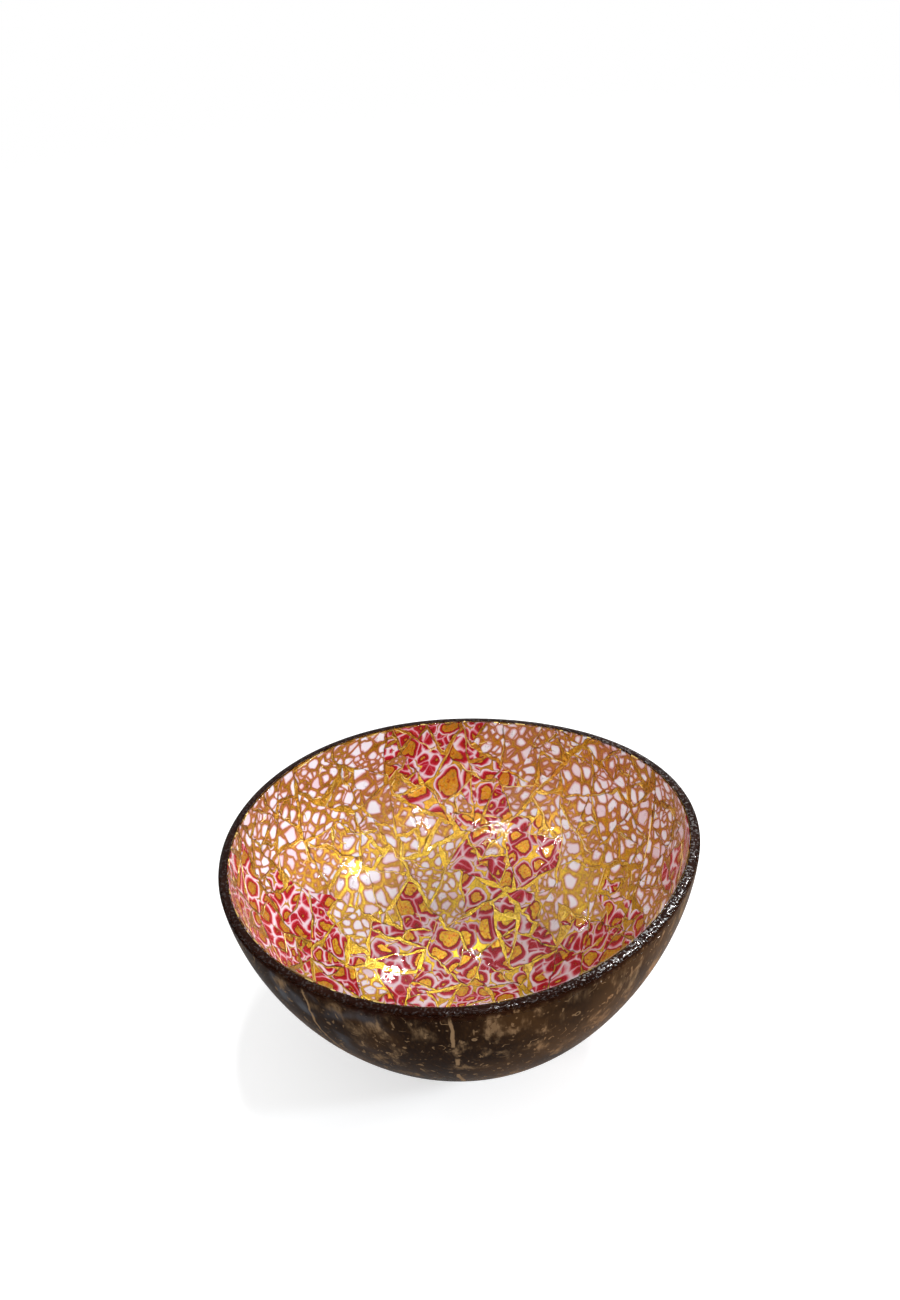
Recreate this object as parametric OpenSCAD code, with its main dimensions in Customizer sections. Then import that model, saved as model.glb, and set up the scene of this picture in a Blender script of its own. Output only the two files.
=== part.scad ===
// Bowl made from half a coconut shell. The outside is polished, the cut rim is sealed
// with dark lacquer, and the inside is lined with a pale ground, gold lacquer, laid
// shards of painted film and clear lacquer.
// Millimetres, +Z up, with the origin in the middle of the flat foot. The front is -Y.

/* [Bowl] */
// Mean outside diameter at the rim
bowl_d = 135; // [115:1:155]
// Height from the foot to the rim
bowl_h = 65; // [55:1:76]
// Depth of shell sanded away to make the flat foot
foot_cut = 2; // [1:0.1:3]
// How far the plan is drawn out across the bowl and drawn in from front to back
oval_h = 1; // [0:0.1:3]
// How far the plan swells over the three seams of the nut
lobe_h = 1.1; // [0:0.1:3]
// Small unevenness of the plan
uneven_h = 0.4; // [0:0.1:1]
// How far the hand-cut rim leans up on the right
rim_lean = 0.4; // [0:0.1:2]
// How far the hand-cut rim waves up and down
rim_wave = 0.9; // [0:0.1:2]

/* [Shell] */
// Wall of the shell at the rim
rim_wall = 2.3; // [1.8:0.1:4]
// Wall of the shell at the bottom before the foot is sanded
pole_wall = 4.6; // [3.6:0.1:6]
// Rounding of the rim's outer edge
rim_round = 0.9; // [0.4:0.1:1.4]

/* [Rim lacquer] */
// Thickness of the dark lacquer on the cut rim
band_t = 0.2; // [0.1:0.05:0.5]
// How far the dark lacquer runs down the outside
band_drop = 2; // [1:0.1:5]

/* [Lining] */
// Pale ground coat that evens out the inside of the shell
ground_t = 0.3; // [0.2:0.05:1]
// Gold lacquer over the ground coat
gold_t = 0.2; // [0.1:0.05:0.5]
// Clear lacquer over the shards
clear_t = 0.3; // [0.15:0.05:0.6]

/* [Shards] */
// Mean spacing of the shards on the wall
shard_pitch = 15; // [11:0.5:20]
// Thickness of a shard
shard_t = 0.25; // [0.1:0.05:0.5]
// Narrowest joint between two shards
joint_min = 1.1; // [0.9:0.1:1.6]
// Widest joint between two shards
joint_max = 3.2; // [1.8:0.1:4]
// Bare gold between the rim and the first shards
edge_gap = 0.8; // [0.4:0.1:3]
// Width of a gold sliver laid along a joint
sliver_w = 0.6; // [0.3:0.05:0.7]
// Height of a gold sliver above the gold lacquer
sliver_h = 0.25; // [0.1:0.05:0.4]

/* [Hidden] */

// Powers that bend the profile at the side wall and round the base
side_power = 1.58;
base_power = 2.2;
// Directions in the plan, in degrees anticlockwise from +X
seam_angle = 268;
lean_angle = -30;
wave_angle = 127;
// Facets round the bowl, down the lining, up the outside and round the rim's edge
sides = 48;
rows = 8;
outer_rows = 10;
edge_steps = 2;
overrun = 10;

// Where the red shards lie, as [direction, share of the way from rim to base, reach as a
// share of the bowl's radius]. All other shards are white.
red_spot_shares = [
    [88, 0.15, 0.30], [80, 0.38, 0.18], [66, 0.50, 0.22], [0, 1, 0.52],
    [172, 0.42, 0.34], [178, 0.12, 0.22], [358, 0.18, 0.28], [12, 0.50, 0.34],
    [255, 0.25, 0.40], [300, 0.45, 0.34]
];
// Share of the shards left out, where the gold lies bare, and share of those with a sliver
bare_share = 0.08;
sliver_share = 0.6;
// How far a shard strays from its even place, as a share of the pitch
stray_share = 0.3;
// Half the widest shard, as a share of the pitch
reach_share = 0.85;
// How far a shard's cutter reaches off its plane, as a share of the pitch
cutter_share = 0.14;
// Shortest joint that takes a sliver, as a share of the pitch, and the sliver's ends as
// shares of the joint
sliver_least_share = 0.35;
sliver_from_share = 0.12;
sliver_to_share = 0.88;
seed = 7;

bowl_r = bowl_d / 2;
form_h = bowl_h + foot_cut;
// Levels of the lining, measured inwards from the inside of the shell
ground_top = ground_t;
gold_top = ground_top + gold_t;
shard_top = gold_top + shard_t;
sliver_top = gold_top + sliver_h;
clear_base = max(shard_top, sliver_top);
clear_top = clear_base + clear_t;

function unit(v) = v / norm(v);
function mix(a, b, share) = a + (b - a) * share;

// Outside profile as [radius, depth below the rim], from rim (0) to base (1)
function profile(t) = [
    bowl_r * pow(cos(90 * t), 2 / base_power),
    form_h * pow(sin(90 * t), 2 / side_power)
];
// Share of the way from rim to base at which a depth is reached
function share_at_depth(depth) = asin(pow(depth / form_h, side_power / 2)) / 90;
// Direction straight out of that profile
function outward(t) = let (p = profile(t)) unit([
    base_power / bowl_r * pow(p.x / bowl_r, base_power - 1),
    side_power / form_h * pow(p.y / form_h, side_power - 1)
]);
// Profile at a distance inwards from the outside of the shell
function inset(t, d) = profile(t) - d * outward(t);
// Profile at a distance inwards from the inside of the shell, whose wall thickens to the base
function lining(t, d) = inset(t, mix(rim_wall, pole_wall, t * t) + d);

// Plan of the nut, as a factor on the radius, and rise of the rim, by direction
function plan(a) = 1 + (oval_h * cos(2 * a) + lobe_h * cos(3 * (a - seam_angle))
    + uneven_h * sin(4 * a)) / bowl_r;
function rise(a) = rim_lean * cos(a - lean_angle) + rim_wave * cos(2 * (a - wave_angle));
// Point of the bowl for a profile point and a direction. The rise fades out towards the axis,
// which keeps every facet flat.
function place(p, a) = [
    p.x * plan(a) * cos(a),
    p.x * plan(a) * sin(a),
    bowl_h - p.y + rise(a) * p.x / bowl_r
];

// Quads between two rings of points, cut into triangles
function band(a, b, n) = [for (j = [0 : n - 1]) let (k = (j + 1) % n)
    each [[a + j, b + j, a + k], [a + k, b + j, b + k]]];

// Solid swept round the bowl from an outline of profile points that starts and ends on the axis
module lobed_solid(outline) {
    last = len(outline) - 1;
    rings = [for (i = [1 : last - 1], j = [0 : sides - 1]) place(outline[i], 360 * j / sides)];
    pole = len(rings);
    top_ring = pole - sides;
    faces = concat(
        [for (j = [0 : sides - 1]) [pole, j, (j + 1) % sides]],
        [for (i = [0 : last - 3]) each band(i * sides, (i + 1) * sides, sides)],
        [for (j = [0 : sides - 1]) [pole + 1, top_ring + (j + 1) % sides, top_ring + j]]
    );
    polyhedron(concat(rings, [place(outline[0], 0), place(outline[last], 0)]), faces);
}

// Ring swept round the bowl from a closed section of profile points
module lobed_ring(section) {
    n = len(section);
    polyhedron(
        [for (p = section, j = [0 : sides - 1]) place(p, 360 * j / sides)],
        [for (i = [0 : n - 1]) each band(i * sides, (i + 1) % n * sides, sides)]
    );
}

// Rounded edge of the rim from the outside up to the top, grown outwards by a coat
edge_share = share_at_depth(rim_round);
function rim_edge(coat) = [for (i = [0 : edge_steps])
    let (a = 90 * i / edge_steps, r = rim_round + coat,
        from = bowl_r - inset(edge_share, 0).x)
    [bowl_r - from * cos(a) - rim_round + r * cos(a), rim_round - r * sin(a)]];

// Where the dark lacquer ends on the outside, and the last ring of facets, in the sanded cut
band_share = share_at_depth(rim_round + band_drop);
foot_share = share_at_depth(bowl_h + foot_cut / 4);

// Layer of the lining between two distances inwards from the inside of the shell
module layer(near, far) {
    lobed_solid(concat(
        [for (i = [rows : -1 : 0]) lining(i / rows, near)],
        [for (i = [0 : rows]) lining(i / rows, far)]
    ));
}

module coconut_shell() {
    color([0.17, 0.12, 0.09])
    difference() {
        lobed_solid(concat(
            [inset(1, 0)],
            [for (i = [outer_rows : -1 : 0]) inset(mix(band_share, foot_share, i / outer_rows), 0)],
            rim_edge(0),
            [for (i = [0 : rows]) lining(i / rows, 0)]
        ));
        translate([-bowl_d, -bowl_d, -overrun])
        cube([2 * bowl_d, 2 * bowl_d, overrun]);
    }
}

// Dark lacquer over the cut face of the rim and a little way down the outside
module rim_lacquer() {
    edge = rim_edge(0);
    color([0.07, 0.04, 0.03])
    lobed_ring(concat(
        [inset(band_share, 0), inset(band_share, -band_t)],
        rim_edge(band_t),
        [[bowl_r - rim_wall, -band_t], [bowl_r - rim_wall, 0]],
        [for (i = [edge_steps : -1 : 0]) edge[i]]
    ));
}

module ground_coat() {
    color([0.87, 0.76, 0.77]) layer(0, ground_top);
}

module gold_ground() {
    color([0.80, 0.58, 0.12]) layer(ground_top, gold_top);
}

module clear_lacquer() {
    color([0.95, 0.93, 0.88, 0.35]) layer(clear_base, clear_top);
}

// Length down the lining and direction seen from the middle of the rim, against the share
wall_steps = 60;
function wall_point(i) = lining(min(1, i / wall_steps), gold_top);
wall_table = [for (i = 0, run = 0; i <= wall_steps;
    run = run + norm(wall_point(i + 1) - wall_point(i)), i = i + 1) [run, i / wall_steps]];
wall_run = wall_table[wall_steps][0];
function on_wall(share, a) = place(lining(share, gold_top), a);

// Middles of the shards in rings down the wall, as [share, direction, length down the wall]
shard_rings = floor(wall_run / shard_pitch);
ring_gap = wall_run / (shard_rings + 0.5);
shard_middles = [for (j = [0 : shard_rings])
    let (ring_run = min(wall_run, (j + 0.5) * ring_gap),
        r = lining(lookup(ring_run, wall_table), gold_top).x,
        n = max(1, round(2 * PI * r / shard_pitch)),
        stray = j == shard_rings ? 0 : stray_share,
        strays = rands(-stray, stray, 2 * n, seed + j))
    for (k = [0 : n - 1])
        let (run = min(wall_run, ring_run + strays[n + k] * shard_pitch))
        [lookup(run, wall_table), 360 * (k + j % 2 / 2 + strays[k]) / n, run]];
shard_count = len(shard_middles);
shard_points = [for (m = shard_middles) on_wall(m[0], m[1])];
joint_draws = rands(joint_min, joint_max, shard_count, seed);
bare_draws = rands(0, 1, shard_count, seed + 1);
sliver_draws = rands(0, 1, shard_count, seed + 2);

// Directions along and down the wall at a shard's middle
function along_wall(i) = let (a = shard_middles[i][1]) [-sin(a), cos(a), 0];
function down_wall(i) = let (t = shard_middles[i][0], a = shard_middles[i][1])
    unit(on_wall(min(1, t + 1 / wall_steps), a) - on_wall(max(0, t - 1 / wall_steps), a));

// The part of a convex outline that lies within a reach along a direction
function clipped(outline, way, reach) = [for (i = [0 : len(outline) - 1])
    let (p = outline[i], q = outline[(i + 1) % len(outline)],
        past_p = p * way - reach, past_q = q * way - reach)
    each concat(past_p <= 0 ? [p] : [],
        past_p * past_q < 0 ? [mix(p, q, past_p / (past_p - past_q))] : [])];
function all_clipped(outline, cuts, i = 0) = i == len(cuts) || len(outline) < 3
    ? outline : all_clipped(clipped(outline, cuts[i][0], cuts[i][1]), cuts, i + 1);

// Outline of a shard in its own plane: nearer to its middle than to any other, less half a joint
function shard_outline(i, joint) =
    let (u = along_wall(i), v = down_wall(i), half = reach_share * shard_pitch,
        ways = [for (k = [0 : shard_count - 1]) let (gap = shard_points[k] - shard_points[i])
            if (k != i && norm(gap) < 3 * shard_pitch) [gap * u, gap * v]],
        cuts = [for (way = ways) [unit(way), (norm(way) - joint) / 2]],
        rim_cut = [[0, -1], shard_middles[i][2] - edge_gap])
    all_clipped([[-half, -half], [half, -half], [half, half], [-half, half]],
        concat([rim_cut], cuts));

// Upright cutter through the wall under an outline in a shard's plane
module cutter(i, outline) {
    n = len(outline);
    u = along_wall(i);
    v = down_wall(i);
    reach = cutter_share * shard_pitch * cross(u, v);
    foot = [for (p = outline) shard_points[i] + p.x * u + p.y * v];
    polyhedron(
        concat([for (p = foot) p - reach], [for (p = foot) p + reach]),
        concat([[for (j = [0 : n - 1]) j], [for (j = [n - 1 : -1 : 0]) n + j]],
            [for (j = [0 : n - 1]) let (k = (j + 1) % n) [j, n + j, n + k, k]])
    );
}

function spot_point(s) = on_wall(s[1], s[0]);
function is_red(i) = max([for (s = red_spot_shares)
    s[2] * bowl_r - norm(shard_points[i] - spot_point(s))]) > 0;

module shards(red) {
    intersection() {
        layer(gold_top, shard_top);
        union() {
            for (i = [0 : shard_count - 1])
                if (bare_draws[i] > bare_share && is_red(i) == red)
                    cutter(i, shard_outline(i, joint_draws[i]));
        }
    }
}

module white_shards() {
    color([0.90, 0.86, 0.90]) shards(false);
}

module red_shards() {
    color([0.74, 0.10, 0.22]) shards(true);
}

// Cutter for a sliver along the first joint of a shard's cell
module sliver(i, cell) {
    joint = cell[1] - cell[0];
    if (norm(joint) > sliver_least_share * shard_pitch) {
        side = sliver_w / 2 * [-joint.y, joint.x] / norm(joint);
        from = cell[0] + sliver_from_share * joint;
        to = cell[0] + sliver_to_share * joint;
        cutter(i, [from - side, to - side, to + side, from + side]);
    }
}

module gold_slivers() {
    color([0.96, 0.78, 0.22])
    intersection() {
        layer(gold_top, sliver_top);
        union() {
            for (i = [0 : shard_count - 2])
                if (sliver_draws[i] < sliver_share) sliver(i, shard_outline(i, 0));
        }
    }
}

coconut_shell();
rim_lacquer();
ground_coat();
gold_ground();
white_shards();
red_shards();
gold_slivers();
clear_lacquer();
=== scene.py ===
import math
import random

import bmesh
import bpy
from mathutils import Matrix, Vector, noise


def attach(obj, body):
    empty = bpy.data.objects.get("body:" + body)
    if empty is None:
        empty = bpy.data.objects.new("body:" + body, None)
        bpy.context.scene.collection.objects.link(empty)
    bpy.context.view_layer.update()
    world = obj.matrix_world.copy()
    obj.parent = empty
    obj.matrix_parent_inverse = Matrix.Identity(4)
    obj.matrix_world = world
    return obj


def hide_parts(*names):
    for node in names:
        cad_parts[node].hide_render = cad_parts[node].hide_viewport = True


bl_info = {
    "name": "Lacquered coconut shell bowl",
    "version": (1, 0, 0),
    "blender": (4, 5, 0),
    "location": "View3D > Sidebar > Bowl",
    "description": "Builds a polished half coconut shell lined with shards laid on gold",
    "category": "Object",
}

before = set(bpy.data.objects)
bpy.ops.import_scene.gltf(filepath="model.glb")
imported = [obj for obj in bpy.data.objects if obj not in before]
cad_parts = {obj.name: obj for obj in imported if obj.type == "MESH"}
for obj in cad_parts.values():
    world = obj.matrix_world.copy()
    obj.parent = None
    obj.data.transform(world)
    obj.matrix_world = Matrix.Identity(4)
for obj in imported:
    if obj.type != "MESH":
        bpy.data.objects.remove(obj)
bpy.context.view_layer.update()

MM = 0.001

# Powers that bend the bowl's profile at the side wall and round the base
SIDE_POWER = 1.58
BASE_POWER = 2.2
# Directions in the plan, anticlockwise from +X
SEAM_ANGLE = math.radians(268)
LEAN_ANGLE = math.radians(-30)
WAVE_ANGLE = math.radians(127)
# Fineness of the swept skins: round the bowl, up the outside, down the inside, round an edge
SIDES = 288
OUTER_ROWS = 96
INNER_ROWS = 90
EDGE_STEPS = 8
MERGE_GAP = 0.002 * MM
# Thickness of the rim lacquer on its side as a share of that on its top
SIDE_COAT = 0.3

# Breaking the lining's sheet: seed, points round its edge, and the distance from its middle past
# which a corner lies at the rim
SEED = 5
RIM_POINTS = 72
AT_RIM = 0.985
# Longest reach of the small and of the other shards, share of small ones (white, red), and where
# and how far askew a sheet is cut
SMALL_REACH = (6 * MM, 10 * MM)
SHARD_REACH = (12 * MM, 25 * MM)
SMALL_SHARE = 0.2
RED_SMALL_SHARE = 0.25
CUT_SPAN = (0.36, 0.64)
CUT_TURN = 0.6
# Share and longest reach of the bare places
BARE_SHARE = 0.07
BARE_REACH = 8 * MM
# Joint on each side of a shard, its half width as a share of its reach, the least of it that the
# joint may leave, and the share of the joint that is kept at the rim
JOINT = (0.08 * MM, 1.25 * MM)
HALF_WIDTH = 0.3
LEAST_LEFT = 0.55
RIM_JOINT = 0.25
# How far the border of the reds, the corners and the joints stray, a shard turns, the sheet bends
COLOUR_STRAY = 7 * MM
CORNER_STRAY = 0.45 * MM
JOINT_SWAY = 4 * MM
SHARD_TURN = math.radians(4.5)
SHEET_BEND = 0.05
# The bend's two sizes of wave, as (waves across the sheet, share, level in the noise)
SHEET_WAVES = ((3.1, 1, SEED), (8.3, 0.4, -SEED))
# Soft lip and ragged edge of a shard, and the height of the point that the shards face as a
# share of the bowl's height
LIP = 0.35 * MM
RAGGED_EDGE = 0.9 * MM
FACED_HEIGHT = 0.9

# Gold slivers: share of the shards' edges that carry one, loose strokes for each square metre,
# their shortest and longest, spacing of their points, how far they wander, and their lift
SLIVER_SHARE = 0.15
STROKES = 5000.0
STROKE_LENGTHS = (1.2 * MM, 3.6 * MM)
SLIVER_STEP = 0.7 * MM
SLIVER_WANDER = 1.6 * MM
SLIVER_LIFT = 0.12 * MM
# Clear lacquer: its underside above the gold, and the pitch of its waves
CLEAR_LIFT = 0.28 * MM
WAVE_PITCH = 7 * MM

# Where the red shards lie, as (direction in degrees, share of the way from rim to base,
# reach as a share of the bowl's radius). All other shards are white.
RED_SPOTS = (
    (88, 0.15, 0.3), (80, 0.38, 0.17), (71, 0.58, 0.21), (0, 1, 0.52),
    (172, 0.42, 0.34), (178, 0.12, 0.22), (358, 0.24, 0.2), (5, 0.6, 0.27),
    (255, 0.25, 0.4), (300, 0.45, 0.34),
)
# Pale lines in the shell, as (direction in degrees, sway and width in millimetres): the nut's
# three seams and one loose fibre
SHELL_LINES = ((265, 4.5, 0.75), (28, 4.0, 0.65), (148, 4.0, 0.65), (229, 6.0, 0.5))
# How unevenly the painted cells lie, how much their sizes differ, and the films' own shine
CELL_RANDOMNESS = 0.64
CELL_SPREAD = 0.24
FILM_SHINE = 0.05

# Smaller tints of the materials, as linear values
# Painted bluish sheen: a painted reflection on the shell's left front
SHEEN_PAINT = (0.075, 0.08, 0.092)
RIM_CLOUD = (0.026, 0.008, 0.004)
# Small pale specks scattered over the rim
PALE_SPECKS = (0.6, 0.6, 0.62)
GOLD_STAIN = (0.3, 0.15, 0.012)
# Paler gold of the raised veins: a painted glint over their real relief
GOLD_RIDGE_GLINT = (0.95, 0.72, 0.16)
SLIVER_DARK = (0.66, 0.38, 0.05)
SLIVER_BRIGHT = (0.98, 0.8, 0.34)
PEBBLE_PINK = (0.8, 0.5, 0.58)
PEBBLE_EDGE = (0.72, 0.4, 0.44)
PEBBLE_VEIN = (0.3, 0.14, 0.16)
AMBER_FLECK = (0.34, 0.05, 0.008)
ROSE_PALE = (0.84, 0.7, 0.76)
ROSE_DEEP = (0.66, 0.13, 0.19)
RING_OUTER = (0.5, 0.014, 0.04)
RING_LINE = (0.13, 0.003, 0.003)
PAPER = (0.86, 0.86, 0.86)
WHITE = (1, 1, 1)

# The lamps: direction in degrees, distance, width and height in metres, watts, and colour
LAMPS = {
    "front_window_1": ((-74, 23), 1.2, 0.04, 0.18, 1.8, WHITE),
    "front_window_2": ((-110, 27), 1.2, 0.18, 0.04, 1.8, WHITE),
    "front_window_3": ((-140, 24), 1.2, 0.04, 0.18, 1.8, WHITE),
    "cool_panel": ((-22, 25), 1.2, 0.1, 0.16, 4.8, (0.88, 0.93, 1.0)),
    "rim_window": ((3, 16), 1.2, 0.18, 0.12, 4.0, WHITE),
    "back_panel": ((38, 47), 1.1, 0.05, 0.2, 4.4, WHITE),
    "top_panel": ((90, 80), 1.1, 0.04, 0.2, 1.8, WHITE),
    "left_spot": ((159, 32), 1.2, 0.04, 0.08, 0.35, (0.85, 0.93, 1.0)),
}
LAMP_AIM = 30 * MM
FLOOR_HALF = 2.5
FLOOR_DROP = 0.1 * MM
# Glow of the floor where it is seen, where it fades into the room, and the room's light
FLOOR_GLOW = 0.45
FLOOR_FADE = (0.35, 1.0)
ROOM_LIGHT = 0.52
# Where the photograph was taken from: height of view, tilt of the horizon, distance from the
# middle of the rim, and that point's place in the picture of 900 by 1300 pixels
VIEW_RISE = math.radians(38.78)
VIEW_ROLL = math.radians(-5.19)
VIEW_DISTANCE = 482.8 * MM
PICTURE_W, PICTURE_H = 900, 1300
RIM_MIDDLE_X, RIM_MIDDLE_Y = 457.95, 847.92
RIM_RADIUS_PX = 238.57
SENSOR = 36
NEAREST_SEEN = 10 * MM


def length(name, description, size):
    """A length property with its default in millimetres."""
    return bpy.props.FloatProperty(
        name=name, description=description, default=size * MM, min=0, max=0.5, precision=5,
        unit="LENGTH")


def tone(name, description, default):
    return bpy.props.FloatVectorProperty(
        name=name, description=description, default=default, size=3, min=0, max=1,
        subtype="COLOR")


class BowlSizes(bpy.types.PropertyGroup):
    """Real sizes of the bowl and of the layers of its lining"""
    rim_d: length("Rim diameter", "Mean outside diameter at the rim", 135)
    height: length("Height", "Height from the foot to the rim", 65)
    foot_cut: length("Foot cut", "Depth sanded away under the foot", 2)
    oval: length("Oval", "How far the plan is drawn out", 1)
    lobe: length("Lobe", "Swelling over the nut's seams", 1.1)
    uneven: length("Uneven", "Small unevenness of the plan", 0.4)
    rim_lean: length("Rim lean", "Rise of the rim on the right", 0.4)
    rim_wave: length("Rim wave", "Height of the rim's waves", 0.9)
    rim_wall: length("Rim wall", "Wall of the shell at the rim", 2.3)
    pole_wall: length("Bottom wall", "Wall of the shell at the bottom", 4.6)
    rim_round: length("Rim rounding", "Rounding of the rim's outer edge", 0.9)
    band_t: length("Rim lacquer", "Thickness of the dark lacquer", 0.15)
    band_drop: length("Rim lacquer drop", "Its reach down the outside", 2)
    band_cover: length("Rim lacquer cover", "Its reach over the lining", 0.2)
    ground_t: length("Ground coat", "Thickness of the pale ground", 0.3)
    gold_t: length("Gold lacquer", "Thickness of the gold lacquer", 0.2)
    shard_t: length("Shard", "Thickness of a shard", 0.14)
    sliver_t: length("Sliver", "Width of a gold sliver", 0.36)
    clear_t: length("Clear lacquer", "Thickness of the clear lacquer", 0.3)
    wave_h: length("Lacquer wave", "Height of its waves", 0.1)


class BowlColours(bpy.types.PropertyGroup):
    """Colours of the bowl, as linear values"""
    shell: tone("Shell", "Dark brown body of the shell", (0.012, 0.0055, 0.003))
    # The browner shell colour also paints the warm glow on the right and lower right of the shell
    shell_warm_and_glow: tone("Warm shell", "Browner cloud in the shell", (0.06, 0.028, 0.01))
    fibre: tone("Fibre", "Pale fibres in the shell", (0.24, 0.15, 0.08))
    # Fibre colour inside the painted warm glow on the right of the shell
    fibre_in_glow: tone("Warm fibre", "Tan fibres in the warm part", (0.42, 0.21, 0.095))
    rim: tone("Rim", "Dark lacquer on the rim", (0.014, 0.0036, 0.0018))
    ground: tone("Ground", "Pale ground coat", (0.55, 0.33, 0.28))
    # The gold is painted brighter low in the bowl as a painted glow; the deeper ochre stays up the
    # walls
    gold: tone("Gold", "Gold lacquer", (0.8, 0.57, 0.035))
    gold_deep: tone("Deep gold", "Darker ochre of the gold", (0.58, 0.205, 0.024))
    white: tone("White", "White pebbles of the film", (0.9, 0.87, 0.93))
    blush: tone("Blush", "Reddish line round the white pebbles", (0.42, 0.12, 0.075))
    red: tone("Red", "Crimson rings of the red film", (0.4, 0.006, 0.014))
    amber: tone("Amber", "Orange-gold middles of the red film", (0.7, 0.25, 0.016))
    seam: tone("Seam", "Thin dark line at a shard's edge", (0.11, 0.05, 0.025))


def sums(operation, swapped=False):
    """A method of Value that adds the node of this operation."""
    def method(self, value):
        return self.tree.math(operation, *((value, self) if swapped else (self, value)))
    return method


class Value:
    """An output socket that takes part in Python sums. Each sum adds its node."""
    __add__ = __radd__ = sums("ADD")
    __mul__ = __rmul__ = sums("MULTIPLY")
    __sub__, __rsub__ = sums("SUBTRACT"), sums("SUBTRACT", swapped=True)
    __truediv__, __rtruediv__ = sums("DIVIDE"), sums("DIVIDE", swapped=True)
    __gt__, __lt__ = sums("GREATER_THAN"), sums("LESS_THAN")

    def __init__(self, tree, socket):
        self.tree = tree
        self.socket = socket

    def __abs__(self):
        return self.tree.math("ABSOLUTE", self)

    def other(self, name):
        """Another output of the same node."""
        return Value(self.tree, self.socket.node.outputs[name])

    def moved(self, **sockets):
        return self.tree.add("GeometryNodeSetPosition", {"Geometry": self, **sockets})

    def stored(self, name, value, kind="FLOAT_VECTOR", domain="POINT"):
        return self.tree.add("GeometryNodeStoreNamedAttribute", {
            "Geometry": self, "Name": name, "Value": value}, data_type=kind, domain=domain)

    def split(self):
        parts = self.tree.add("ShaderNodeSeparateXYZ", {0: self})
        return parts, parts.other("Y"), parts.other("Z")

    def scaled(self, size):
        """A vector times a number, which may be a value."""
        return self.tree.add("ShaderNodeVectorMath", {0: self, "Scale": size}, operation="SCALE")

    def step(self, low, high):
        """0 at low and 1 at high, with a soft run between them."""
        return self.tree.add("ShaderNodeMapRange", {
            "Value": self, "From Min": low, "From Max": high}, interpolation_type="SMOOTHSTEP")

    def blend(self, a, b, kind="RGBA"):
        """Colour or number a where this share is 0 and b where it is 1."""
        return self.tree.add("ShaderNodeMix", {0: self, 1: a, 2: b}, data_type=kind)

    def mix(self, a, b):
        """Shader a where this share is 0 and b where it is 1."""
        return self.tree.add("ShaderNodeMixShader", {0: self, 1: a, 2: b})

    def noise(self, scale, detail=2, rough=0.5, bend=0.0, dimensions="3D"):
        return self.tree.add("ShaderNodeTexNoise", {
            "Vector": self, "Scale": scale, "Detail": detail, "Roughness": rough,
            "Distortion": bend}, noise_dimensions=dimensions)

    def flat_noise(self, scale, detail=1, rough=0.5):
        return self.noise(scale, detail, rough, dimensions="2D")

    def stray(self, scale, detail):
        """A random vector about zero."""
        return self.noise(scale, detail).other("Color") - 0.5

    def cells(self, scale):
        return self.tree.add("ShaderNodeTexVoronoi", {"Vector": self, "Scale": scale})


class Tree:
    """Writes one tree of a material, of the world or of geometry."""

    def __init__(self, group, owner=None):
        self.group = group
        self.owner = owner

    def plug(self, node, key, value):
        sockets = [s for s in node.inputs if s.enabled]
        socket = sockets[key] if isinstance(key, int) else next(s for s in sockets if s.name == key)
        if isinstance(value, Value):
            self.group.links.new(value.socket, socket)
        elif socket.type == "RGBA":
            socket.default_value = (*value, 1)
        else:
            socket.default_value = value

    def add(self, kind, sockets=None, out=None, **settings):
        """A node of a type, with the values or links of its sockets, and its settings."""
        node = self.group.nodes.new(kind)
        for name, value in settings.items():
            setattr(node, name, value)
        for key, value in (sockets or {}).items():
            self.plug(node, key, value)
        if out:
            return Value(self, node.outputs[out])
        return Value(self, next((s for s in node.outputs if s.enabled), None))

    def math(self, operation, *values):
        vector = any(isinstance(v, tuple) or isinstance(v, Value) and v.socket.type == "VECTOR"
                     for v in values)
        kind = "ShaderNodeVectorMath" if vector else "ShaderNodeMath"
        return self.add(kind, dict(enumerate(values)), operation=operation)

    def most(self, greatest, *others):
        for value in others:
            greatest = self.math("MAXIMUM", greatest, value)
        return greatest

    def join(self, x, y, z):
        return self.add("ShaderNodeCombineXYZ", {0: x, 1: y, 2: z})

    def glaze(self, colour, roughness, normal, others):
        """A principled shader with other sockets given by name."""
        return self.add("ShaderNodeBsdfPrincipled", {
            "Base Color": colour, "Roughness": roughness, "Normal": normal, **others})

    def here(self):
        """Object coordinates, in metres."""
        return self.add("ShaderNodeTexCoord", out="Object")

    def attribute(self, name, out="Fac"):
        return self.add("ShaderNodeAttribute", None, out, attribute_name=name)

    def bump(self, height, distance):
        return self.add("ShaderNodeBump", {"Distance": distance, "Height": height})

    def together(self, *parts):
        """Several geometries as one."""
        whole = self.add("GeometryNodeJoinGeometry")
        for part in parts:
            self.group.links.new(part.socket, whole.socket.node.inputs[0])
        return whole


def empty_tree(owner):
    """The writer of a material's or a world's tree, with nothing in it yet."""
    owner.use_nodes = True
    owner.node_tree.nodes.clear()
    return Tree(owner.node_tree, owner)


def new_material(name):
    return empty_tree(bpy.data.materials.new(name))


def finished(tree, surface):
    """The material, ended by its shader."""
    tree.add("ShaderNodeOutputMaterial", {"Surface": surface})
    return tree.owner


def glazed(tree, *look):
    """The material, ended by a principled shader."""
    return finished(tree, tree.glaze(*look))


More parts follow.
